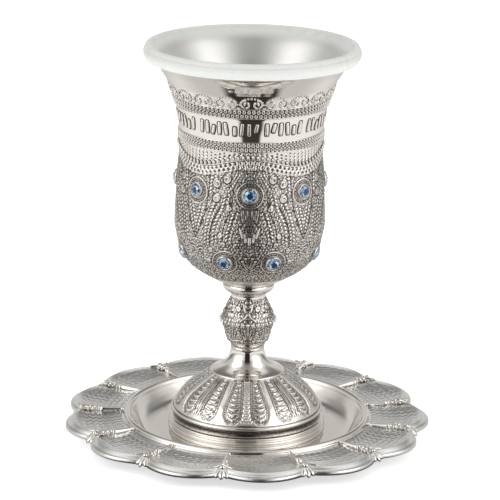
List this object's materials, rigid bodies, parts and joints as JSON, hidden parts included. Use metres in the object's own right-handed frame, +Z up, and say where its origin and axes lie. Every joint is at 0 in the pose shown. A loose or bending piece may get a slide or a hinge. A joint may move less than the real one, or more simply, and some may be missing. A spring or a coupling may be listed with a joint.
{
  "type": "kiddush cup with plate",
  "caption": "Engraved kiddush cup on a knopped stem and domed foot, set with blue glass stones, with a plastic insert, standing in its petalled plate.",
  "frame": {"origin": "centre of the plate's flat underside, on the axis of the cup", "axes": "+Z up along the cup's axis; -Y is the front, where an upper stone and a panel of the bowl face; +X to the right"},
  "size_m": [0.1338, 0.1342, 0.145],
  "materials": {
    "polished_plate": "bright nickel plating, darkened in the recesses of the relief",
    "satin_plate": "satin nickel plating with engine-turned petals and a polished well",
    "milky_plastic": "translucent milky plastic with a soft gloss",
    "blue_glass": "clear light blue, facet cut"
  },
  "bodies": {
    "root": {"plate": "satin_plate", "foot": "polished_plate", "stem": "polished_plate", "bowl": "polished_plate", "insert_cup": "milky_plastic", "stone_upper_1": "blue_glass", "stone_upper_2": "blue_glass", "stone_upper_3": "blue_glass", "stone_upper_4": "blue_glass", "stone_upper_5": "blue_glass", "stone_upper_6": "blue_glass", "stone_upper_7": "blue_glass", "stone_upper_8": "blue_glass", "stone_lower_1": "blue_glass", "stone_lower_2": "blue_glass", "stone_lower_3": "blue_glass", "stone_lower_4": "blue_glass", "stone_lower_5": "blue_glass", "stone_lower_6": "blue_glass", "stone_lower_7": "blue_glass", "stone_lower_8": "blue_glass"}
  },
  "joints": []
}
